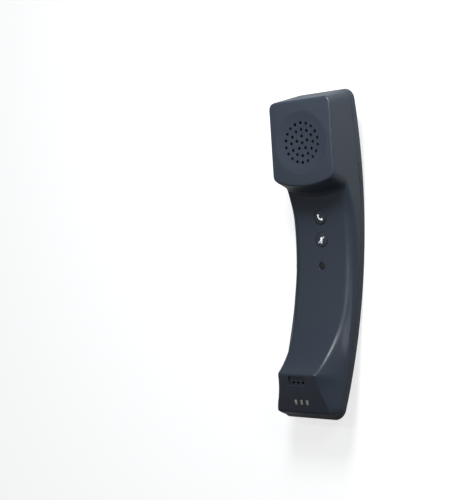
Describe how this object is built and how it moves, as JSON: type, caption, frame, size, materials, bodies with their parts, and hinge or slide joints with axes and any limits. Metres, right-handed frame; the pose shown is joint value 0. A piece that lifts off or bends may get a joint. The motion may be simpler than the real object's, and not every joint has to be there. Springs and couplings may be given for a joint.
{
  "type": "telephone handset",
  "caption": "Cordless desk telephone handset with a curved outer cover, boxy ear cup with a round grille, slim grip with two keys, and a mouthpiece with microphone and charging contacts.",
  "frame": {"origin": "lowest point of the curved outer cover, on which the handset lies, midway along its length and width", "axes": "+Y along the handset towards the ear end, +Z out of the inner side that faces the user, +X the side with the volume rocker"},
  "size_m": [0.049, 0.212, 0.0445],
  "materials": {
    "shell_plastic": "fine matt texture",
    "key_plastic": "satin",
    "inner_plastic": "plain moulded",
    "smoked_window": "polished",
    "blue_lens": "polished",
    "green_lens": "polished",
    "contact_gold": "gold plated",
    "steel": "plated",
    "rubber_black": "silicone",
    "mesh_cloth": "fine acoustic mesh",
    "board_green": "solder mask over glass fibre",
    "lamp_white": "clear resin",
    "pouch_foil": "laminated foil",
    "flex_amber": "polyimide film"
  },
  "bodies": {
    "handset": {"outer_cover": "shell_plastic", "inner_housing": "shell_plastic", "mid_frame": "inner_plastic", "case_screws": "steel", "ear_mesh": "mesh_cloth", "receiver_gasket": "rubber_black", "receiver": "steel", "hook_magnet": "steel", "rocker_pin": "steel", "volume_board": "board_green", "volume_switches": "steel", "light_board": "board_green", "status_lamps": "lamp_white", "blue_light_guide": "blue_lens", "green_light_guide": "green_lens", "main_board": "board_green", "radio_shield": "steel", "keypad_rubber": "rubber_black", "indicator_window": "smoked_window", "indicator_lamp": "lamp_white", "battery": "pouch_foil", "battery_pad": "rubber_black", "weight_block": "steel", "mic_boot": "rubber_black", "mic_capsule": "steel", "mouth_board": "board_green", "contact_carrier": "inner_plastic", "contact_left": "contact_gold", "contact_middle": "contact_gold", "contact_right": "contact_gold", "mouth_ribbon": "flex_amber", "ear_ribbon": "flex_amber"},
    "call_key": {"call_key": "key_plastic"},
    "mute_key": {"mute_key": "key_plastic"},
    "volume_rocker": {"volume_rocker": "key_plastic"}
  },
  "joints": [
    {"name": "call_key_press", "type": "slide", "parent": "handset", "child": "call_key", "axis": [0, 0.2135, -0.9769], "range_m": [0, 0.0005], "stiffness_N_per_m": 3000},
    {"name": "mute_key_press", "type": "slide", "parent": "handset", "child": "mute_key", "axis": [0, 0.1288, -0.9917], "range_m": [0, 0.0005], "stiffness_N_per_m": 3000},
    {"name": "volume_rocker_tip", "type": "hinge", "parent": "handset", "child": "volume_rocker", "pos_m": [0.02125, 0.04647, 0.00703], "axis": [0, -0.1469, 0.9892], "range_deg": [-2.5, 2.5], "stiffness_Nm_per_rad": 0.4}
  ]
}
